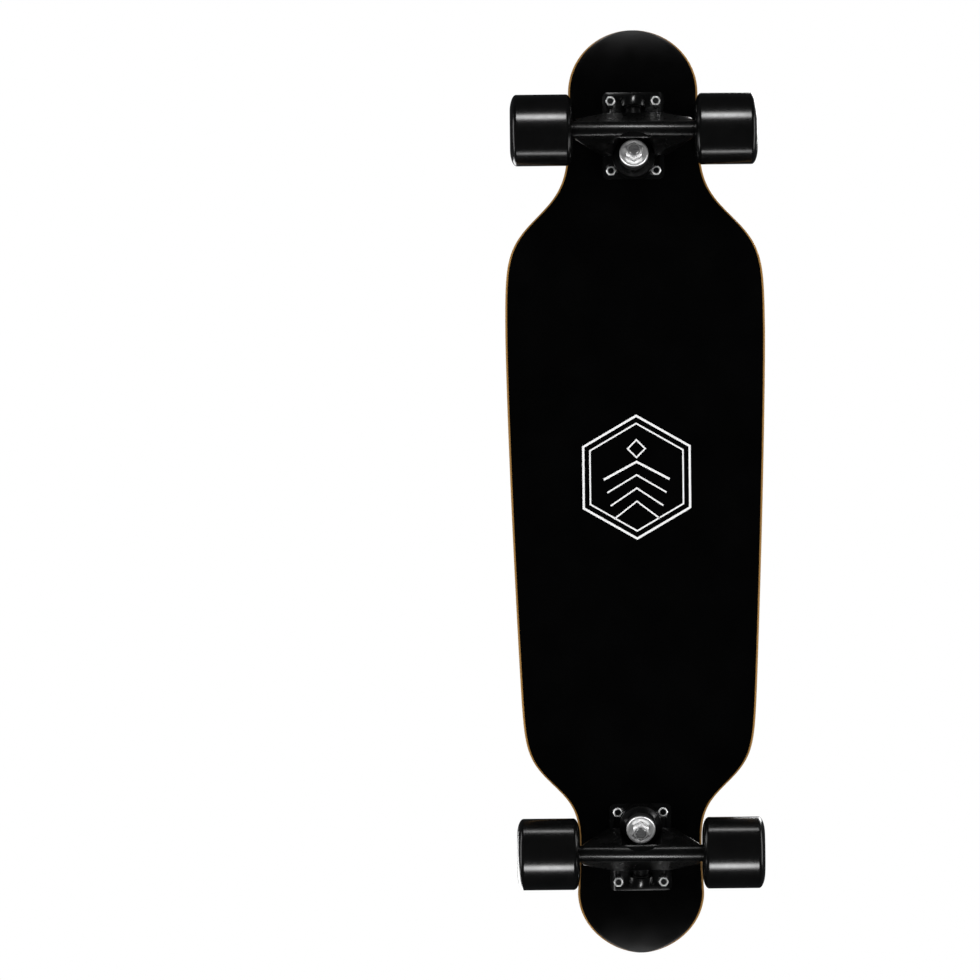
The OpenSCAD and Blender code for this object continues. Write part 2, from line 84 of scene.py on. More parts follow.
DECK_LOW, DECK_HIGH = box_mm("deck")
WHEEL_LOW, WHEEL_HIGH = box_mm("rear_left_wheel")
PAD_LOW, PAD_HIGH = box_mm("rear_riser_pad")

BOARD_L = DECK_HIGH.y - DECK_LOW.y
DECK_Z = PAD_HIGH.z
TRUCK_Y = (PAD_LOW.y + PAD_HIGH.y) / 2
AXLE_Z = (WHEEL_LOW.z + WHEEL_HIGH.z) / 2
AXLE_Y = (WHEEL_LOW.y + WHEEL_HIGH.y) / 2
AXLE_HALF = box_mm("rear_axle")[1].x
WHEEL_X = (WHEEL_LOW.x + WHEEL_HIGH.x) / 2
WHEEL_R = (WHEEL_HIGH.z - WHEEL_LOW.z) / 2
WHEEL_W = WHEEL_HIGH.x - WHEEL_LOW.x
STEER = next(joint for joint in frame["joints"] if joint["name"] == "rear_steer")
RING_Y, RING_Z = (value / MM for value in STEER["pos_m"][1:])
KINGPIN_TILT = math.asin(STEER["axis"][2])

# ---- Sizes of the deck and its hardware, as in the part's source ----

# Outline: a body that tapers toward the tail, a neck over each truck, and round tips.
BODY_W = 237
WIDEST_AT = 146
TAPER_FALL, TAPER_RUN, TAPER_POWER = 7.3, 246, 1.4
FRONT_NECK_W, REAR_NECK_W = 118, 115
SHOULDER_IN, REAR_SHOULDER_IN = 73.5, 56
SHOULDER_RUN, REAR_SHOULDER_RUN = 15, 12.5
REAR_WAIST, REAR_WAIST_START, WAIST_MARGIN = 0.055, 42, 12
NOSE_ARC, TAIL_ARC = 57, 55
NOSE_POWER, TAIL_POWER = 0.5, 0.55
TIP_SHARE = 0.998

# Section: the sheets' thicknesses, the edge's radius and how far the surfaces rise.
DECK_T, GRIP_T = 11, 0.8
PLIES = 8
EDGE = 1.8
CAMBER, CONCAVE, TIP_LIFT = 7, 4, 7
SEAT_HALF = 45

# Bolts, their nuts, and the plates between the deck and the nuts.
BOLT_DX, BOLT_DY = 41.3, 63.5
BOLT_R, BOLT_HEAD_R = 2.4, 4.1
BOLT_PROUD = 2.4
SOCKET_AF, SOCKET_DEPTH = 3.2, 2
MOUNT_NUT_AF, MOUNT_NUT_T = 8, 5.6
RISER_T, BASE_T = 3, 5
SLIP = 0.2


# ---- Camera ----

def add_camera():
    """Looks straight up at the underside, with the nose at the top of the picture."""
    across = 0.8932
    lens, sensor = 600, 36
    board_right_of_middle, board_below_middle = 0.1339, 0.0013
    roll = math.radians(0.6)
    data = bpy.data.cameras.new("camera")
    data.lens, data.sensor_width = lens, sensor
    data.clip_end = 100
    camera = bpy.data.objects.new("camera", data)
    bpy.context.scene.collection.objects.link(camera)
    nose = Vector((0, -1, 0))
    side = Vector((1, 0, 0))
    right = side * math.cos(roll) - nose * math.sin(roll)
    up = side * math.sin(roll) + nose * math.cos(roll)
    back = right.cross(up)
    turn = Matrix((right, up, back)).transposed().to_4x4()
    distance = across * lens / sensor
    place = Vector((0, 0, DECK_Z * MM)) + back * distance
    place += up * board_below_middle - right * board_right_of_middle
    camera.matrix_world = Matrix.Translation(place) @ turn
    bpy.context.scene.camera = camera


add_camera()


# ---- Materials ----

class Shader:
    """A material under construction: one Principled surface and the nodes that feed it."""

    def __init__(self, name, **values):
        self.material = bpy.data.materials.new(name)
        self.material.use_nodes = True
        self.tree = self.material.node_tree
        self.surface = self.tree.nodes["Principled BSDF"]
        for socket, value in values.items():
            self.surface.inputs[socket.replace("_", " ")].default_value = value

    def node(self, kind, **settings):
        node = self.tree.nodes.new(kind)
        for name, value in settings.items():
            setattr(node, name, value)
        return node

    def link(self, source, target):
        self.tree.links.new(source, target)

    def coords(self, scale=(1, 1, 1)):
        """Object coordinates in millimetres, stretched by a scale."""
        place = self.node("ShaderNodeTexCoord")
        stretch = self.node("ShaderNodeVectorMath", operation="MULTIPLY")
        stretch.inputs[1].default_value = [value / MM for value in scale]
        self.link(place.outputs["Object"], stretch.inputs[0])
        return stretch.outputs[0]

    def noise(self, size, detail=2, stretch=(1, 1, 1)):
        """Noise whose features are about this many millimetres across."""
        node = self.node("ShaderNodeTexNoise")
        node.inputs["Scale"].default_value = 1 / size
        node.inputs["Detail"].default_value = detail
        self.link(self.coords(stretch), node.inputs["Vector"])
        return node.outputs["Fac"]

    def cells(self, size, output="Color"):
        node = self.node("ShaderNodeTexVoronoi")
        node.inputs["Scale"].default_value = 1 / size
        self.link(self.coords(), node.inputs["Vector"])
        return node.outputs[output]

    def ramp(self, source, *stops):
        """Colour ramp through (place, colour) stops. A plain number stands for a grey."""
        node = self.node("ShaderNodeValToRGB")
        points = node.color_ramp.elements
        while len(points) < len(stops):
            points.new(0.5)
        for point, (place, colour) in zip(points, stops):
            point.position = place
            point.color = (colour,) * 3 + (1,) if isinstance(colour, (int, float)) else (*colour, 1)
        self.link(source, node.inputs["Fac"])
        return node.outputs["Color"]

    def mix(self, factor, a, b, blend="MIX"):
        node = self.node("ShaderNodeMix", data_type="RGBA", blend_type=blend)
        for socket, value in ((node.inputs[0], factor), (node.inputs[6], a), (node.inputs[7], b)):
            if isinstance(value, bpy.types.NodeSocket):
                self.link(value, socket)
            else:
                socket.default_value = value
        return node.outputs[2]

    def bump(self, height, strength, depth):
        """Relief that is this many millimetres deep."""
        node = self.node("ShaderNodeBump")
        node.inputs["Strength"].default_value = strength
        node.inputs["Distance"].default_value = depth * MM
        self.link(height, node.inputs["Height"])
        previous = self.surface.inputs["Normal"]
        if previous.links:
            self.link(previous.links[0].from_socket, node.inputs["Normal"])
        self.link(node.outputs["Normal"], previous)

    def feed(self, socket, source):
        self.link(source, self.surface.inputs[socket])


def lacquer():
    """Smooth black paint on the underside, with a faint roller texture."""
    shader = Shader("lacquer", Specular_IOR_Level=0.2)
    shader.feed("Base Color", shader.ramp(shader.noise(40), (0.3, 0.0004), (0.7, 0.0008)))
    shader.feed("Roughness", shader.ramp(shader.noise(25, 3), (0.35, 0.2), (0.65, 0.26)))
    shader.bump(shader.noise(1.2, 1), 0.06, 0.03)
    return shader.material


def maple():
    """Bare laminated edge: plies with thin glue lines between them, stained a warm brown."""
    shader = Shader("maple", Specular_IOR_Level=0.4)
    height = shader.node("ShaderNodeAttribute", attribute_name="ply")
    plies = shader.node("ShaderNodeMath", operation="MULTIPLY")
    plies.inputs[1].default_value = PLIES
    shader.link(height.outputs["Fac"], plies.inputs[0])
    share = shader.node("ShaderNodeMath", operation="FRACT")
    shader.link(plies.outputs[0], share.inputs[0])
    pair = shader.node("ShaderNodeMath", operation="PINGPONG")
    pair.inputs[1].default_value = 1
    shader.link(plies.outputs[0], pair.inputs[0])
    tone = shader.ramp(pair.outputs[0], (0.35, (0.38, 0.2, 0.055)), (0.65, (0.52, 0.31, 0.1)))
    fibre = shader.ramp(shader.noise(0.5, 4, (0.15, 0.15, 2)), (0.3, 0.7), (0.7, 1.0))
    wood = shader.mix(1.0, tone, fibre, "MULTIPLY")
    glue = shader.ramp(share.outputs[0], (0.0, 0.45), (0.07, 1.0), (0.93, 1.0), (1.0, 0.45))
    shader.feed("Base Color", shader.mix(1.0, wood, glue, "MULTIPLY"))
    shader.feed("Roughness", shader.ramp(shader.noise(3), (0.3, 0.42), (0.7, 0.58)))
    shader.bump(shader.noise(0.4, 3, (0.2, 0.2, 1)), 0.25, 0.06)
    return shader.material


def grit():
    """Grip tape: black mineral grains in resin, a few of them catching the light."""
    shader = Shader("grit", Specular_IOR_Level=0.45)
    grains = shader.cells(0.75)
    tone = shader.ramp(grains, (0.0, 0.004), (0.55, 0.012), (0.85, 0.035), (1.0, 0.11))
    cloud = shader.ramp(shader.noise(6, 4), (0.3, 0.6), (0.7, 1.0))
    shader.feed("Base Color", shader.mix(1.0, tone, cloud, "MULTIPLY"))
    shader.feed("Roughness", shader.ramp(shader.cells(0.6), (0.6, 0.85), (0.95, 0.35)))
    shader.bump(shader.cells(0.7, "Distance"), 0.8, 0.35)
    shader.bump(shader.noise(0.5, 3), 0.5, 0.25)
    return shader.material


def cast_paint(name, low, high):
    """Gloss black paint over sand-cast aluminium, its roughness between two values."""
    shader = Shader(name, Specular_IOR_Level=0.5)
    shader.feed("Base Color", shader.ramp(shader.noise(9, 3), (0.3, 0.0015), (0.7, 0.003)))
    shader.feed("Roughness", shader.ramp(shader.noise(4, 3), (0.35, low), (0.65, high)))
    shader.bump(shader.noise(2.5, 1), 0.06, 0.02)
    return shader.material


def metal(name, tone, rough, stretch, grain=0.35):
    """Bare or plated steel. At a very dark tone it is steel darkened as painted shade. The stretch draws
    its fine scratches out along one axis.
    """
    shader = Shader(name, Metallic=1.0)
    cloud = shader.ramp(shader.noise(4, 3), (0.3, tone * 0.86), (0.7, tone))
    streak = shader.ramp(shader.noise(grain, 4, stretch), (0.3, 0.88), (0.7, 1.0))
    shader.feed("Base Color", shader.mix(1.0, cloud, streak, "MULTIPLY"))
    shader.feed("Roughness", shader.ramp(shader.noise(grain, 3, stretch), (0.3, rough * 0.8),
                                         (0.7, rough * 1.25)))
    shader.bump(shader.noise(grain, 2, stretch), 0.12, 0.02)
    return shader.material


def moulded(name, tone, low, high, size=1.4):
    """Smooth moulded plastic with faint flow marks, its roughness between two values."""
    shader = Shader(name, Specular_IOR_Level=0.5)
    shader.feed("Base Color", shader.ramp(shader.noise(14, 3), (0.3, tone * 0.8), (0.7, tone * 1.2)))
    shader.feed("Roughness", shader.ramp(shader.noise(5, 4), (0.3, low), (0.7, high)))
    shader.bump(shader.noise(size, 2), 0.05, 0.015)
    return shader.material


def rubber(name, tone, rough):
    """Matt moulded rubber."""
    shader = Shader(name, Specular_IOR_Level=0.35)
    shader.feed("Base Color", shader.ramp(shader.noise(2.5, 4), (0.3, tone * 0.75), (0.7, tone * 1.3)))
    shader.feed("Roughness", shader.ramp(shader.noise(1.5, 2), (0.3, rough - 0.08), (0.7, rough + 0.06)))
    shader.bump(shader.noise(0.5, 3), 0.3, 0.05)
    return shader.material


def ink():
    """White screen-printed ink."""
    shader = Shader("ink", Specular_IOR_Level=0.4)
    shader.feed("Base Color", shader.ramp(shader.noise(0.8, 3), (0.25, 0.78), (0.6, 0.9)))
    shader.feed("Roughness", shader.ramp(shader.noise(2), (0.3, 0.45), (0.7, 0.6)))
    shader.bump(shader.noise(0.35, 2), 0.2, 0.02)
    return shader.material


MATERIALS = {
    "lacquer": lacquer(),
    "maple": maple(),
    "grip": grit(),
    "truck_paint": cast_paint("truck_paint", 0.27, 0.31),
    "plate_paint": cast_paint("plate_paint", 0.2, 0.24),
    "rubber": rubber("rubber", 0.02, 0.7),
    "steel": metal("steel", 0.62, 0.3, (0.04, 1, 1)),
    "zinc": metal("zinc", 0.72, 0.42, (1, 1, 1), 0.8),
    # The "thread" steel is painted shade: a near-black metal that makes the bolt ends below the deck look
    # shaded, as if sunk in the nuts' bores.
    "thread": metal("thread", 0.09, 0.4, (1, 1, 1), 0.5),
    "urethane": moulded("urethane", 0.0025, 0.19, 0.23),
    "core": moulded("core", 0.03, 0.4, 0.5, 0.8),
    "bushing": moulded("bushing", 0.02, 0.3, 0.4),
    "ink": ink(),
}


# ---- Mesh helpers ----

def finished(name, mesh, body, slot, extra=(), smooth=True, angle=35, look=None):
    """Turns a mesh in millimetres into a piece that rides on a body. A look stands in for its slot."""
    mesh.transform(Matrix.Scale(MM, 4))
    piece = bpy.data.objects.new(name, mesh)
    bpy.context.scene.collection.objects.link(piece)
    for material in (look or slot, *extra):
        mesh.materials.append(MATERIALS[material])
    if smooth:
        mesh.polygons.foreach_set("use_smooth", [True] * len(mesh.polygons))
        mesh.set_sharp_from_angle(angle=math.radians(angle))
    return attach(piece, body) if body else piece


def from_bmesh(name, shape):
    mesh = bpy.data.meshes.new(name)
    shape.to_mesh(mesh)
    shape.free()
    return mesh


def weld(shape):
    bmesh.ops.remove_doubles(shape, verts=shape.verts, dist=1e-5)
    bmesh.ops.recalc_face_normals(shape, faces=shape.faces)


def lathe(profile, segments=96, form=None):
    """Turns a closed (radius, height) profile about Z. The form may change a radius by its angle."""
    shape = bmesh.new()
    rings = []
    for j in range(segments):
        angle = 2 * math.pi * j / segments
        ring = []
        for r, z in profile:
            if form:
                r = form(r, z, angle)
            ring.append(shape.verts.new((r * math.cos(angle), r * math.sin(angle), z)))
        rings.append(ring)
    count = len(profile)
    for j in range(segments):
        here, there = rings[j], rings[(j + 1) % segments]
        for k in range(count):
            n = (k + 1) % count
            if profile[k][0] or profile[n][0]:
                shape.faces.new((here[k], here[n], there[n], there[k]))
    weld(shape)
    return shape


def joined(shapes):
    """One bmesh out of several (bmesh, matrix) pairs."""
    whole = bmesh.new()
    for shape, matrix in shapes:
        part = bpy.data.meshes.new("part")
        shape.to_mesh(part)
        part.transform(matrix)
        whole.from_mesh(part)
        bpy.data.meshes.remove(part)
    for shape in {id(shape): shape for shape, _ in shapes}.values():
        shape.free()
    return whole


def arc(centre, radius, start, end, steps):
    """Points on an arc in a profile, its angles in degrees from +r toward +z."""
    angles = [math.radians(start + (end - start) * i / steps) for i in range(steps + 1)]
    return [(centre[0] + radius * math.cos(a), centre[1] + radius * math.sin(a)) for a in angles]


def ring_profile(inner, outer, low, high, round_off):
    """Rectangle profile with rounded corners."""
    r = round_off
    return (arc((outer - r, low + r), r, -90, 0, 4) + arc((outer - r, high - r), r, 0, 90, 4)
            + arc((inner + r, high - r), r, 90, 180, 4) + arc((inner + r, low + r), r, 180, 270, 4))


# ---- Places ----

def truck(end):
    """Truck frame: origin on the underside of the deck, +Y toward the nearer tip."""
    turn = 0 if end > 0 else math.pi
    return Matrix.Translation((0, end * TRUCK_Y, DECK_Z)) @ Matrix.Rotation(turn, 4, "Z")


def kingpin_frame(end):
    """+Z along the kingpin, away from the deck, from the middle of the hanger's ring."""
    return (truck(end) @ Matrix.Translation((0, RING_Y - TRUCK_Y, RING_Z - DECK_Z))
            @ Matrix.Rotation(math.pi + KINGPIN_TILT, 4, "X"))


def axle_frame(end, x=0):
    """+Z along +X from a place on an axle."""
    return (Matrix.Translation((x, end * AXLE_Y, AXLE_Z)) @ Matrix.Rotation(math.pi / 2, 4, "Y"))


def bolt_places(end):
    return [truck(end) @ Matrix.Translation((x * BOLT_DX / 2, y * BOLT_DY / 2, 0))
            for x in (-1, 1) for y in (-1, 1)]


# ---- Deck ----

def fade(distance, run):
    return 1 / (1 + math.exp(distance / run))


def waist_half(s):
    """Half width of the deck between its tip arcs, at a distance toward the nose."""
    mid = min(1, max(0, (s + TRUCK_Y - WAIST_MARGIN) / (2 * (TRUCK_Y - WAIST_MARGIN))))
    neck = FRONT_NECK_W / 2
    if s <= 0:
        neck = REAR_NECK_W / 2 - REAR_WAIST * max(0, s + TRUCK_Y + REAR_WAIST_START) * (1 - mid)
    body = BODY_W / 2 - TAPER_FALL * (max(0, WIDEST_AT - s) / TAPER_RUN) ** TAPER_POWER
    if s > 0:
        return neck + (body - neck) * fade(s - (TRUCK_Y - SHOULDER_IN), SHOULDER_RUN)
    return neck + (body - neck) * fade(-s - (TRUCK_Y - REAR_SHOULDER_IN), REAR_SHOULDER_RUN)


def tip_half(t, power):
    return (1 - (TIP_SHARE * max(0, t)) ** 2) ** power


def deck_half(s):
    nose = (s - BOARD_L / 2 + NOSE_ARC) / NOSE_ARC
    tail = (-s - BOARD_L / 2 + TAIL_ARC) / TAIL_ARC
    return waist_half(s) * tip_half(nose, NOSE_POWER) * tip_half(tail, TAIL_POWER)


def rise(x, s):
    """Height of the deck's surfaces over its seats."""
    bow = (1 - min(1, abs(s) / (TRUCK_Y - SEAT_HALF)) ** 2) ** 2
    kick = (max(0, abs(s) - TRUCK_Y - SEAT_HALF) / (BOARD_L / 2 - TRUCK_Y - SEAT_HALF)) ** 2
    return (CAMBER + CONCAVE * (2 * x / BODY_W) ** 2) * bow + TIP_LIFT * kick


def stations(mid_steps=220, tip_steps=40):
    """Places of the deck's sections from tail to nose, close together in the tip arcs."""
    tip = [math.sin(math.pi / 2 * i / tip_steps) for i in range(tip_steps + 1)]
    tail = [-BOARD_L / 2 + TAIL_ARC * (1 - t) for t in reversed(tip[1:])]
    span = BOARD_L - TAIL_ARC - NOSE_ARC
    middle = [-BOARD_L / 2 + TAIL_ARC + span * i / mid_steps for i in range(mid_steps + 1)]
    return tail + middle + [BOARD_L / 2 - NOSE_ARC * (1 - t) for t in tip[1:]]


# Points round a section: columns across each face, and steps round each rounded corner.
COLUMNS = 20
EDGE_STEPS = 6
EDGE_POINTS = 2 * EDGE_STEPS


def section(s, low, high, inset):
    """Closed section of a sheet that follows the deck. The deck's own has rounded edges."""
    half = deck_half(s)
    flat = half - inset
    across = [flat * (2 * i / COLUMNS - 1) for i in range(COLUMNS + 1)]
    edge = []
    if inset > 0 and low < DECK_T / 2 < high:
        for i in range(1, EDGE_STEPS):
            a = math.pi / 2 * i / EDGE_STEPS
            edge.append((flat + EDGE * math.sin(a), high - EDGE + EDGE * math.cos(a)))
        edge += [(half, high - EDGE), (half, low + EDGE)]
        for i in range(1, EDGE_STEPS):
            a = math.pi / 2 * i / EDGE_STEPS
            edge.append((flat + EDGE * math.cos(a), low + EDGE - EDGE * math.sin(a)))
    points = [(x, high) for x in across] + edge
    points += [(x, low) for x in reversed(across)] + [(-x, z) for x, z in reversed(edge)]
    return [(x, -s, DECK_Z + z + rise(x, s)) for x, z in points]


def loft(sections, zones):
    """Skin over the sections, closed at its ends. Zones gives each strip round it a material."""
    shape = bmesh.new()
    rows = [[shape.verts.new(p) for p in points] for points in sections]
    count = len(rows[0])
    for a, b in zip(rows, rows[1:]):
        for k in range(count):
            n = (k + 1) % count
            face = shape.faces.new((a[k], a[n], b[n], b[k]))
            face.material_index = zones(k)
    for row in (rows[0], rows[-1]):
        shape.faces.new(row)
    bmesh.ops.recalc_face_normals(shape, faces=shape.faces)
    return shape


def bolt_cutter(radius, head_radius, head_at):
    """Cutters for all eight bolts: a hole, opening to a countersink."""
    low, high = -20, 40
    profile = [(0, low), (radius, low), (radius, head_at - head_radius + radius),
               (head_radius, head_at), (head_radius, high), (0, high)]
    shape = lathe(profile, 48)
    places = [place for end in ENDS.values() for place in bolt_places(end)]
    return from_bmesh("cutter", joined([(shape, place) for place in places]))


def cut(mesh, cutter):
    """Takes the cutter out of a mesh."""
    piece = bpy.data.objects.new("cut", mesh)
    tool = bpy.data.objects.new("tool", cutter)
    for item in (piece, tool):
        bpy.context.scene.collection.objects.link(item)
    tool.hide_render = True
    step = piece.modifiers.new("holes", "BOOLEAN")
    step.operation, step.solver, step.object = "DIFFERENCE", "EXACT", tool
    return applied(piece, tool)


def applied(piece, *others):
    """The mesh of a piece with its modifiers applied. The piece and the others are removed."""
    bpy.context.view_layer.update()
    result = bpy.data.meshes.new_from_object(piece.evaluated_get(bpy.context.evaluated_depsgraph_get()))
    for item in (piece, *others):
        bpy.data.objects.remove(item)
    return result


def add_deck():
    below = COLUMNS + 1 + EDGE_POINTS

    def zones(k):
        """0 is the bare edge and the wood under the grip, 1 the painted underside."""
        return int(below <= k < below + COLUMNS)

    shape = loft([section(s, 0, DECK_T, EDGE) for s in stations()], zones)
    mesh = cut(from_bmesh("deck", shape), bolt_cutter(BOLT_R + SLIP, BOLT_HEAD_R + SLIP, DECK_T))
    heights = [(v.co.z - DECK_Z - rise(v.co.x, -v.co.y)) / DECK_T for v in mesh.vertices]
    mesh.attributes.new("ply", "FLOAT", "POINT").data.foreach_set("value", heights)
    piece = finished("deck_laminate", mesh, "board", "maple", ["lacquer"], angle=50)
    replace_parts(piece, "deck")


def add_grip():
    sheet = [section(s, DECK_T, DECK_T + GRIP_T, EDGE) for s in stations()]
    mesh = cut(from_bmesh("grip", loft(sheet, lambda k: 0)),
               bolt_cutter(BOLT_HEAD_R + SLIP, BOLT_HEAD_R + SLIP, DECK_T))
    piece = finished("grip_sheet", mesh, "board", "grip", angle=50)
    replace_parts(piece, "grip_tape")


def ribbon(shape, path, width, closed):
    """Printed line along a path on the underside, mitred at its corners."""
    thick_out, thick_in = 0.05, 0.03
    count = len(path)
    rails = []
    for i, p in enumerate(path):
        before = path[i - 1] if closed or i else None
        after = path[(i + 1) % count] if closed or i < count - 1 else None
        into = (p - before).normalized() if before is not None else (after - p).normalized()
        out = (after - p).normalized() if after is not None else into
        normal = (into + out).normalized().orthogonal()
        reach = width / 2 / max(0.3, normal.dot(into.orthogonal()))
        rails.append((p + normal * reach, p - normal * reach))
    corners = []
    for left, right in rails:
        ring = []
        for flat, depth in ((left, -thick_out), (right, -thick_out), (right, thick_in), (left, thick_in)):
            x, s = flat
            ring.append(shape.verts.new((x, -s, DECK_Z + depth + rise(x, s))))
        corners.append(ring)
    pairs = list(zip(corners, corners[1:] + corners[:1]))
    for a, b in pairs if closed else pairs[:-1]:
        for k in range(4):
            n = (k + 1) % 4
            shape.faces.new((a[k], a[n], b[n], b[k]))
    if not closed:
        shape.faces.new(corners[0])
        shape.faces.new(reversed(corners[-1]))


def subdivided(points, closed, step=3):
    """The same path with points no further apart than a step, so that it follows the camber."""
    ends = points[1:] + points[:1] if closed else points[1:]
    path = []
    for a, b in zip(points, ends):
        parts = max(1, math.ceil((b - a).length / step))
        path += [a + (b - a) * i / parts for i in range(parts)]
    return path if closed else path + [points[-1]]


def add_print():
    """Generic line pattern: a tall hexagon that holds a stack of chevrons and a diamond."""
    centre = Vector((0, 13))
    line, fine = 2.0, 1.4
    outer_r, inner_r = 56, 49
    chevrons, top_half, top_at = 4, 30, 14
    narrower, lower, fall = 3, 12, 16
    diamond_half, diamond_at = 8, 26
    shape = bmesh.new()

    def stroke(points, width, closed):
        ribbon(shape, subdivided([centre + Vector(p) for p in points], closed), width, closed)

    corners = [math.radians(60 * i) for i in range(6)]
    for radius, width in ((outer_r, line), (inner_r, fine)):
        stroke([(radius * math.sin(a), radius * math.cos(a)) for a in corners], width, True)
    for i in range(chevrons):
        half, top = top_half - narrower * i, top_at - lower * i
        stroke([(-half, top - fall), (0, top), (half, top - fall)], line if i == 0 else fine, False)
    stroke([(0, diamond_at + diamond_half), (diamond_half, diamond_at),
            (0, diamond_at - diamond_half), (-diamond_half, diamond_at)], fine, True)
    bmesh.ops.recalc_face_normals(shape, faces=shape.faces)
    finished("underside_print", from_bmesh("print", shape), "board", "maple", smooth=False,
             look="ink")


# ---- Kingpin stack: places along the kingpin, from the middle of the hanger's ring ----

RING_HALF = 3
ROAD_BUSHING_T, BUSHING_R, ROAD_BUSHING_R = 9.5, 13, 12
WASHER_R, WASHER_T, WASHER_RIM = 13.25, 1.6, 1.5
KINGPIN_R, KINGPIN_AF = 4.75, 14.3
KINGPIN_NUT_T, KINGPIN_TAIL = 7.6, 2
KINGPIN_HEAD_T, BOSS_T = 4.2, 4
BOSS_DROP = 4.5
# Threads and lock nuts. The kingpins and axles share one thread.
THREAD_GAP = 0.02
THREAD_PITCH, THREAD_DEPTH = 1.06, 0.5
BOLT_PITCH, BOLT_THREAD_DEPTH = 0.8, 0.35
RINGS_PER_TURN = 6
NYLON_WALL = 0.78

# The stack itself.
ROAD_WASHER_S = RING_HALF + ROAD_BUSHING_T
NUT_S = ROAD_WASHER_S + WASHER_T
KINGPIN_END_S = NUT_S + KINGPIN_NUT_T + KINGPIN_TAIL
BOARD_BUSHING_T = ((DECK_Z - RING_Z - RISER_T - BASE_T) / math.cos(KINGPIN_TILT)
                   - RING_HALF - WASHER_T - BOSS_DROP)
BOARD_WASHER_S = -RING_HALF - BOARD_BUSHING_T - WASHER_T


def hexagonal(af):
    """Form that trims a turned shape to a hexagon with a flat facing +X."""
    sector = math.pi / 3

    def form(r, z, angle):
        off_flat = (angle + sector / 2) % sector - sector / 2
        return min(r, af / 2 / math.cos(off_flat))
    return form


def nut_profile(af, low, high, bore, collar):
    """Lock nut with chamfered corners, a round collar and a nylon-ring step."""
    corner = af / math.sqrt(3)
    inner = af / 2 - 0.15
    drop = (corner - inner) * 0.55
    steps = 5
    down = [(inner + (corner - inner) * i / steps, low + drop * i / steps) for i in range(steps + 1)]
    up = [(r, high - (z - low)) for r, z in reversed(down)]
    neck = af / 2 - 0.4
    head = [(neck, high), *arc((neck - 0.6, high + collar - 0.6), 0.6, 0, 90, 4),
            (bore + 0.9, high + collar), (bore + 0.5, high + collar - 0.5)]
    return [(bore + 0.5, low)] + down + up + head + [(bore, high - 0.5), (bore, low + 0.5)]


def nut(af, start, thickness, radius, collar):
    """Lock nut for a shaft of this radius. Its thickness takes in the collar."""
    profile = nut_profile(af, start, start + thickness - collar, radius + THREAD_GAP, collar)
    return lathe(profile, 96, hexagonal(af))


def nylon_ring(radius, low, high):
    """The ring pressed into a lock nut's collar."""
    bore = radius + THREAD_GAP
    return lathe(ring_profile(bore, bore + NYLON_WALL, low, high, 0.2), 64)


def thread_heights(low, high, pitch):
    """Heights close enough to show a wound thread."""
    steps = round((high - low) / pitch * RINGS_PER_TURN)
    return [low + (high - low) * i / steps for i in range(steps + 1)]


def thread_form(radius, pitch, depth, low, high):
    """Form that winds a helical thread round the stretch of a shaft between two heights."""
    def form(r, z, angle):
        if abs(r - radius) > 1e-6 or not low <= z <= high:
            return r
        turn = (z / pitch - angle / (2 * math.pi)) % 1
        return r - depth * (1 - abs(2 * turn - 1))
    return form


def shaft_profile(radius, low, high, chamfer, thread, pitch):
    """Solid shaft with chamfered ends, and close rings where it is threaded."""
    return ([(0, low), (radius - chamfer, low), (radius, low + chamfer)]
            + [(radius, z) for z in thread_heights(*thread, pitch)]
            + [(radius, high - chamfer), (radius - chamfer, high), (0, high)])


def add_kingpin(end, sign):
    place = kingpin_frame(sign)
    head_high = BOARD_WASHER_S - BOSS_T
    head_low = head_high - KINGPIN_HEAD_T
    thread = NUT_S - 3, KINGPIN_END_S - 0.8
    face_r, crown_w, crown_h, steps = KINGPIN_AF / 2 - 0.2, 1.1, 0.6, 4
    crown = [(face_r + crown_w * i / steps, head_low + crown_h * i / steps) for i in range(steps + 1)]
    rim = [(KINGPIN_AF / math.sqrt(3), head_high), (0, head_high)]
    head = lathe([(0, head_low)] + crown + rim, 96, hexagonal(KINGPIN_AF))
    shank = lathe(shaft_profile(KINGPIN_R, head_high - 1, KINGPIN_END_S, 0.7, thread, THREAD_PITCH),
                  64, thread_form(KINGPIN_R, THREAD_PITCH, THREAD_DEPTH, *thread))
    mesh = from_bmesh("kingpin", joined([(head, place), (shank, place)]))
    piece = finished(f"{end}_kingpin_bolt", mesh, "board", "steel")
    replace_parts(piece, f"{end}_kingpin")


def add_kingpin_nut(end, sign):
    place = kingpin_frame(sign) @ Matrix.Rotation(math.radians(60), 4, "Z")
    shape = nut(KINGPIN_AF, NUT_S, KINGPIN_NUT_T, KINGPIN_R, 1.4)
    insert = nylon_ring(KINGPIN_R, NUT_S + 6.4, NUT_S + 7.3)
    mesh = from_bmesh("nut", joined([(shape, place), (insert, place)]))
    piece = finished(f"{end}_kingpin_lock_nut", mesh, "board", "zinc")
    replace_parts(piece, f"{end}_kingpin_nut")


def washer_profile():
    """Cupped washer: a dished disc with a rolled rim that holds the bushing."""
    low, high = ROAD_WASHER_S, ROAD_WASHER_S + WASHER_T
    bore = KINGPIN_R + SLIP
    rim = WASHER_R - ROAD_BUSHING_R - SLIP
    top = arc((WASHER_R - 1.4, high - 1.4), 1.4, 0, 90, 8)
    foot = arc((WASHER_R - rim / 2, low - WASHER_RIM + rim / 2), rim / 2, -180, 0, 8)
    dish_r, dish = 8.6, high - 0.25
    return foot + top + [(dish_r, high), (dish_r - 0.4, dish), (bore + 0.3, dish),
                         (bore, high - 0.5), (bore, low), (ROAD_BUSHING_R + SLIP, low)]


def add_washers(end, sign):
    place = kingpin_frame(sign)
    road = lathe(washer_profile(), 128)
    board = lathe(ring_profile(KINGPIN_R + SLIP, WASHER_R, BOARD_WASHER_S,
                               BOARD_WASHER_S + WASHER_T, 0.35), 128)
    mesh = from_bmesh("washers", joined([(road, place), (board, place)]))
    piece = finished(f"{end}_cup_washers", mesh, "board", "zinc")
    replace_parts(piece, f"{end}_bushing_washers")


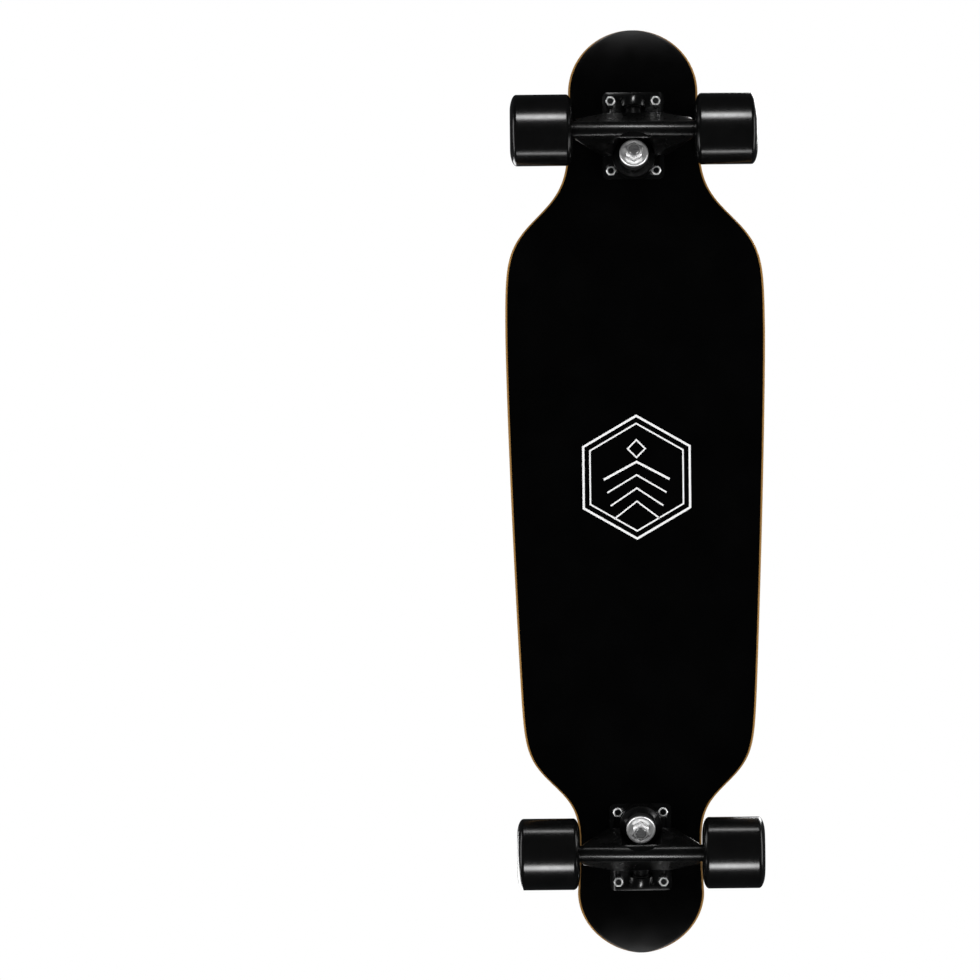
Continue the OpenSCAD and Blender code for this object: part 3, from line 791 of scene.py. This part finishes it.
def add_bushings(end, sign):
    """Each bushing is held by its washer against the hanger's ring."""
    add_bushing(end, sign, "road", ROAD_WASHER_S, RING_HALF, ROAD_BUSHING_R, 0)
    add_bushing(end, sign, "board", -RING_HALF - BOARD_BUSHING_T, -RING_HALF, BUSHING_R, 0.8)


def add_bushing(end, sign, name, washer_s, ring_s, washer_r, bulge):
    """Bushing between its washer's face and the ring's face, with a radius at each."""
    place = kingpin_frame(sign)
    bore, lip, steps = KINGPIN_R + SLIP, 0.4, 14
    heights = [washer_s + (ring_s - washer_s) * i / steps for i in range(steps + 1)]
    side = [(washer_r + (BUSHING_R - washer_r) * i / steps + bulge * math.sin(math.pi * i / steps),
             min(max(z, min(washer_s, ring_s) + lip), max(washer_s, ring_s) - lip))
            for i, z in enumerate(heights)]
    profile = ([(washer_r - lip, washer_s)] + side + [(BUSHING_R - lip, ring_s)]
               + [(bore, z) for z in reversed(heights)])
    mesh = from_bmesh(name, joined([(lathe(profile, 128), place)]))
    piece = finished(f"{end}_{name}_side_bushing", mesh, None, "bushing")
    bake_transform(piece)
    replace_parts(piece, f"{end}_{name}_bushing")


# ---- Mounting hardware ----

def add_bolts(end, sign):
    top = DECK_T + GRIP_T - 0.1
    bottom = -RISER_T - BASE_T - MOUNT_NUT_T - BOLT_PROUD
    cone = DECK_T - BOLT_HEAD_R + BOLT_R
    socket_r, socket_z = SOCKET_AF / math.sqrt(3), top - SOCKET_DEPTH
    thread = bottom + 0.8, -RISER_T
    profile = [(0, bottom), (BOLT_R - 0.5, bottom), (BOLT_R, bottom + 0.5)]
    profile += [(BOLT_R, z) for z in thread_heights(*thread, BOLT_PITCH)]
    profile += [(BOLT_R, cone), (BOLT_HEAD_R, DECK_T), (BOLT_HEAD_R, top - 0.25)]
    profile += arc((BOLT_HEAD_R - 0.25, top - 0.25), 0.25, 15, 90, 4)
    profile += [(socket_r + 0.25, top), (socket_r, top - 0.25), (socket_r, socket_z), (0, socket_z - 0.5)]
    winding = thread_form(BOLT_R, BOLT_PITCH, BOLT_THREAD_DEPTH, *thread)

    def form(r, z, angle):
        if z >= socket_z - 0.6 and r <= socket_r + 0.26:
            return min(r, hexagonal(SOCKET_AF)(r, z, angle) + max(0, r - socket_r))
        return winding(r, z, angle)

    shape = lathe(profile, 48, form)
    mesh = from_bmesh("bolts", joined([(shape, place) for place in bolt_places(sign)]))
    # Faces below the deck's underside take the dark "thread" steel. It is painted shade on the bolt ends.
    for face in mesh.polygons:
        face.material_index = int(face.center.z < DECK_Z)
    piece = finished(f"{end}_deck_bolts", mesh, "board", "zinc", ["thread"])
    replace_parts(piece, f"{end}_mounting_bolts")


def add_nuts(end, sign):
    shape = nut(MOUNT_NUT_AF, RISER_T + BASE_T, MOUNT_NUT_T, BOLT_R, 1.2)
    flip = Matrix.Rotation(math.pi, 4, "X") @ Matrix.Rotation(math.radians(30), 4, "Z")
    mesh = from_bmesh("nuts", joined([(shape, place @ flip) for place in bolt_places(sign)]))
    piece = finished(f"{end}_deck_nuts", mesh, "board", "zinc")
    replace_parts(piece, f"{end}_mounting_nuts")


def bevelled(name, node, body, slot, width, angle=40, look=None):
    """Copy of a CAD piece with its edges bevelled."""
    mesh = frame["nodes"][node].data.copy()
    mesh.transform(Matrix.Scale(1 / MM, 4))
    mesh.materials.clear()
    shape = bmesh.new()
    shape.from_mesh(mesh)
    bmesh.ops.remove_doubles(shape, verts=shape.verts, dist=0.002)
    bmesh.ops.dissolve_limit(shape, angle_limit=math.radians(1), verts=shape.verts, edges=shape.edges)
    mesh = from_bmesh(name, shape)
    blank = bpy.data.objects.new("blank", mesh)
    bpy.context.scene.collection.objects.link(blank)
    edge = blank.modifiers.new("edge", "BEVEL")
    edge.width, edge.segments, edge.limit_method = width, 3, "ANGLE"
    edge.angle_limit = math.radians(angle)
    edge.harden_normals = True
    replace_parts(finished(name, applied(blank), body, slot, look=look), node)


# ---- Axles and bearings ----

BEARING_W, BEARING_R = 7, 11
SPACER_L = 10
BEARING_FAR = SPACER_L / 2 + BEARING_W
SPEED_WASHER_T = 1
GROOVE_AT, GROOVE_R = 7.5, 2.034
RACE_IN, RACE_ROUND = 9.35, 0.4
SEAL_IN, SEAL_OUT = 5.95, 9.33
AXLE_R = 3.97
AXLE_THREAD_L = 11
AXLE_NUT_AF, AXLE_NUT_T = 12.7, 7.5


def add_axle(end, sign):
    place = axle_frame(sign)
    out = AXLE_HALF - 0.8
    threads = (-out, -out + AXLE_THREAD_L), (out - AXLE_THREAD_L, out)
    rings = [(AXLE_R, z) for thread in threads for z in thread_heights(*thread, THREAD_PITCH)]
    profile = [(0, -AXLE_HALF), (AXLE_R - 0.7, -AXLE_HALF), *rings,
               (AXLE_R - 0.7, AXLE_HALF), (0, AXLE_HALF)]
    near, far = (thread_form(AXLE_R, THREAD_PITCH, THREAD_DEPTH, *thread) for thread in threads)
    shape = lathe(profile, 64, lambda r, z, a: near(r, z, a) if z < 0 else far(r, z, a))
    mesh = from_bmesh("axle", joined([(shape, place)]))
    piece = finished(f"{end}_axle_rod", mesh, f"{end}_axle_assembly", "steel")
    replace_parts(piece, f"{end}_axle")


def add_axle_nuts(end, sign):
    body = f"{end}_axle_assembly"
    start = WHEEL_X + BEARING_FAR + SPEED_WASHER_T
    shape = nut(AXLE_NUT_AF, start, AXLE_NUT_T, AXLE_R, 1.5)
    insert = nylon_ring(AXLE_R, start + 6.2, start + 7.4)
    back = Matrix.Rotation(math.pi, 4, "Y")
    place = axle_frame(sign)
    mesh = from_bmesh("nuts", joined([(shape, place), (insert, place),
                                      (shape, place @ back), (insert, place @ back)]))
    piece = finished(f"{end}_axle_lock_nuts", mesh, body, "zinc")
    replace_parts(piece, f"{end}_axle_nuts")
    ring = lathe(ring_profile(4, 5.6, 0, SPEED_WASHER_T, 0.2), 64)
    places = [axle_frame(sign, x * WHEEL_X + z) for x in (-1, 1)
              for z in (-BEARING_FAR - SPEED_WASHER_T, BEARING_FAR)]
    mesh = from_bmesh("washers", joined([(ring, p) for p in places]))
    piece = finished(f"{end}_speed_rings", mesh, body, "zinc")
    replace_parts(piece, f"{end}_speed_washers")


# ---- Wheels ----

CONTACT_W = 45
RECESS_R, CORE_R = 17, 15.5
CORE_HALF = BEARING_FAR + 1


def wheel_profile():
    """Domed tread, rounded lips and a bevelled recess on both sides."""
    steps = 24
    side = []
    for i in range(steps + 1):
        a = math.pi / 2 * i / steps
        side.append((RECESS_R + (WHEEL_R - RECESS_R) * math.cos(a),
                     (CONTACT_W + (WHEEL_W - CONTACT_W) * math.sin(a)) / 2))
    recess = [(RECESS_R - 0.5, WHEEL_W / 2 - 0.15), (RECESS_R - 0.8, WHEEL_W / 2 - 0.6),
              (CORE_R + 0.4, CORE_HALF + 1.2), (CORE_R, CORE_HALF)]
    half = side + recess
    return [(r, -z) for r, z in reversed(half)] + half


def add_wheel(end, sign, side, way):
    name = f"{end}_{side}"
    body = f"{name}_wheel_set"
    place = axle_frame(sign, way * WHEEL_X)
    mesh = from_bmesh("tyre", joined([(lathe(wheel_profile(), 160), place)]))
    piece = finished(f"{name}_tyre", mesh, body, "urethane")
    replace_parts(piece, f"{name}_wheel")
    seat, step = SPACER_L / 2, 9.2
    core = [(CORE_R, -CORE_HALF), (CORE_R, CORE_HALF), (BEARING_R + 0.5, CORE_HALF),
            (BEARING_R, CORE_HALF - 0.5), (BEARING_R, seat), (step, seat), (step, -seat),
            (BEARING_R, -seat), (BEARING_R, -CORE_HALF + 0.5), (BEARING_R + 0.5, -CORE_HALF)]
    mesh = from_bmesh("core", joined([(lathe(core, 96), place)]))
    piece = finished(f"{name}_hub_core", mesh, body, "core")
    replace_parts(piece, f"{name}_core")
    add_bearing_rings(name, body, sign, way)


def add_bearing_rings(name, body, sign, way):
    """Outer races with their pressed-in seals. Balls, cages and inner races stay as they are."""
    places = [axle_frame(sign, way * WHEEL_X + z * (SPACER_L + BEARING_W) / 2) for z in (-1, 1)]
    groove = arc((GROOVE_AT, 0), GROOVE_R, 24, -24, 8)
    half, corner = BEARING_W / 2, BEARING_R - RACE_ROUND
    race = ([(RACE_IN, -half + 0.2), (RACE_IN + 0.2, -half)]
            + arc((corner, -half + RACE_ROUND), RACE_ROUND, -90, 0, 4)
            + arc((corner, half - RACE_ROUND), RACE_ROUND, 0, 90, 4)
            + [(RACE_IN + 0.2, half), (RACE_IN, half - 0.2)] + groove)
    mesh = from_bmesh("races", joined([(lathe(race, 96), p) for p in places]))
    piece = finished(f"{name}_race_rings", mesh, body, "steel")
    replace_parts(piece, f"{name}_outer_races")
    low, high = half - 0.5, half - 0.2
    dish = high - 0.12
    seal = [(SEAL_IN, low), (SEAL_OUT, low), (SEAL_OUT, high), (8.9, high), (8.7, dish),
            (6.9, dish), (6.6, high), (SEAL_IN, high)]
    shape = lathe(seal, 96)
    turns = [Matrix.Identity(4), Matrix.Rotation(math.pi, 4, "X")]
    mesh = from_bmesh("seals", joined([(shape, p @ t) for p in places for t in turns]))
    piece = finished(f"{name}_seals", mesh, body, "rubber")
    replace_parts(piece, f"{name}_shields")


# ---- Build ----

def build():
    add_deck()
    add_grip()
    add_print()
    for end, sign in ENDS.items():
        bevelled(f"{end}_hanger_casting", f"{end}_hanger", f"{end}_axle_assembly", "truck_paint", 0.7)
        bevelled(f"{end}_baseplate_casting", f"{end}_baseplate", "board", "truck_paint", 0.5,
                 look="plate_paint")
        bevelled(f"{end}_riser", f"{end}_riser_pad", "board", "rubber", 0.3)
        bevelled(f"{end}_cup", f"{end}_pivot_cup", "board", "rubber", 0.3)
        add_kingpin(end, sign)
        add_kingpin_nut(end, sign)
        add_washers(end, sign)
        add_bushings(end, sign)
        add_bolts(end, sign)
        add_nuts(end, sign)
        add_axle(end, sign)
        add_axle_nuts(end, sign)
        for side, way in SIDES.items():
            add_wheel(end, sign, side, way)


def paint_inner_parts():
    """Gives the CAD nodes that stay a material each."""
    looks = {"bearing_spacers": "steel", "inner_races": "steel", "balls": "steel", "cages": "zinc"}
    for name, node in frame["nodes"].items():
        for ending, slot in looks.items():
            if name.endswith(ending):
                node.data.materials.clear()
                node.data.materials.append(MATERIALS[slot])


# ---- Stage and light ----

def one_sided_floor():
    """Pale floor that is seen from above only, so the underside can be looked at from below."""
    shader = Shader("floor", Base_Color=(0.86, 0.86, 0.86, 1), Roughness=0.9)
    shader.bump(shader.noise(30, 2), 0.02, 0.5)
    side = shader.node("ShaderNodeNewGeometry")
    clear = shader.node("ShaderNodeBsdfTransparent")
    choose = shader.node("ShaderNodeMixShader")
    out = shader.tree.nodes["Material Output"]
    shader.link(side.outputs["Backfacing"], choose.inputs[0])
    shader.link(shader.surface.outputs[0], choose.inputs[1])
    shader.link(clear.outputs[0], choose.inputs[2])
    shader.link(choose.outputs[0], out.inputs["Surface"])
    return shader.material


def add_floor():
    half, gap = 20, 0.0002
    mesh = bpy.data.meshes.new("floor")
    mesh.from_pydata([(-half, -half, 0), (half, -half, 0), (half, half, 0), (-half, half, 0)],
                     [], [(0, 1, 2, 3)])
    floor = bpy.data.objects.new("floor", mesh)
    bpy.context.scene.collection.objects.link(floor)
    mesh.materials.append(one_sided_floor())
    floor.location.z = CAD_BOX[0].z - gap
    floor.visible_diffuse = floor.visible_glossy = floor.visible_shadow = False


def area_light(name, place, target, size, brightness, spread=180, glossy=True):
    """Rectangular light with a given surface brightness, and a beam this many degrees wide.

    A light that isn't glossy brightens surfaces without being mirrored in them.
    """
    data = bpy.data.lights.new(name, "AREA")
    data.shape, data.size, data.size_y = "RECTANGLE", *size
    data.spread = math.radians(spread)
    share = 1 if spread == 180 else 1 - data.spread / 2 / math.tan(data.spread / 2)
    data.energy = brightness * math.pi * size[0] * size[1] * share
    light = bpy.data.objects.new(name, data)
    bpy.context.scene.collection.objects.link(light)
    light.location = place
    aim = Vector(target) - Vector(place)
    light.rotation_euler = aim.to_track_quat("-Z", "Y").to_euler()
    light.visible_camera = False
    light.visible_glossy = glossy
    return light


def link_light(light, state, names):
    """The light falls on these pieces alone (INCLUDE), or on everything but them (EXCLUDE)."""
    group = bpy.data.collections.new(f"{light.name}_pieces")
    for name in names:
        group.objects.link(bpy.data.objects[name])
    light.light_linking.receiver_collection = group
    for member in group.collection_objects:
        member.light_linking.link_state = state


def add_lights():
    """Strips draw the bright lines along the wheels and hangers, and the rest is soft light.

    The strips leave out the kingpin stacks. Those and the deck nuts have soft lights of their own.
    """
    stacks = [f"{end}_{name}" for end in ENDS
              for name in ("kingpin_bolt", "kingpin_lock_nut", "cup_washers")]
    nuts = [f"{end}_deck_nuts" for end in ENDS]
    for end, sign in ENDS.items():
        add_strips(end, sign, stacks)
    for sign in (-1, 1):
        add_soft_lights(sign, stacks + nuts)
    add_sun()
    square = (1.2, 1.2)
    area_light("key", (0.9, -1.0, 2.3), (0, 0, 0), square, 7)
    area_light("back", (-1.0, 0.9, 2.2), (0, 0, 0), square, 4)


def add_strips(end, sign, left_out):
    """A long strip past the board's end, below it, and a thin one under its middle."""
    beyond, below, low_below = 0.68, 0.73, 0.07
    axle_y, axle_z = AXLE_Y * MM, AXLE_Z * MM
    axle = (0, sign * axle_y, axle_z)
    strip = area_light(f"{end}_strip", (0, sign * (axle_y + beyond), axle_z - below), axle,
                       (3.2, 0.32), 27, spread=24)
    low = area_light(f"{end}_low_strip", (0, 0, axle_z - low_below), axle, (1.0, 0.04), 9, spread=34)
    for light in (strip, low):
        link_light(light, "EXCLUDE", left_out)


def add_soft_lights(sign, hardware):
    """One side's lights: a fill from below, one for the bright hardware, and one from the side."""
    middle = (0, 0, 0.05)
    far, near, below = 1.8, 1.2, -1.6
    low_size, side_size = (1.2, 1.6), (1.6, 0.6)
    area_light(f"low_fill_{sign}", (sign * far, 0, below), middle, low_size, 7, glossy=False)
    glow = area_light(f"hardware_{sign}", (sign * near, 0, below), middle, low_size, 7)
    link_light(glow, "INCLUDE", hardware)
    area_light(f"side_{sign}", (sign * far, 0, 0.5), middle, side_size, 2.2)


def add_sun():
    """Broad light from straight above, which lights the floor and isn't mirrored in the gloss."""
    sun = bpy.data.objects.new("sun", bpy.data.lights.new("sun", "SUN"))
    sun.data.energy, sun.data.angle = 2.9, math.radians(70)
    sun.visible_glossy = False
    bpy.context.scene.collection.objects.link(sun)


def add_world():
    """White for the camera, and dim for reflections and bounced light."""
    world = bpy.data.worlds.new("world")
    bpy.context.scene.world = world
    world.use_nodes = True
    tree = world.node_tree
    dim = tree.nodes["Background"]
    dim.inputs["Color"].default_value = (0.9, 0.95, 1, 1)
    dim.inputs["Strength"].default_value = 0.03
    white = tree.nodes.new("ShaderNodeBackground")
    white.inputs["Color"].default_value = (1, 1, 1, 1)
    path = tree.nodes.new("ShaderNodeLightPath")
    choose = tree.nodes.new("ShaderNodeMixShader")
    tree.links.new(path.outputs["Is Camera Ray"], choose.inputs[0])
    tree.links.new(dim.outputs[0], choose.inputs[1])
    tree.links.new(white.outputs[0], choose.inputs[2])
    tree.links.new(choose.outputs[0], tree.nodes["World Output"].inputs["Surface"])
    bpy.context.scene.view_settings.view_transform = "Standard"


build()
paint_inner_parts()
add_floor()
add_lights()
add_world()
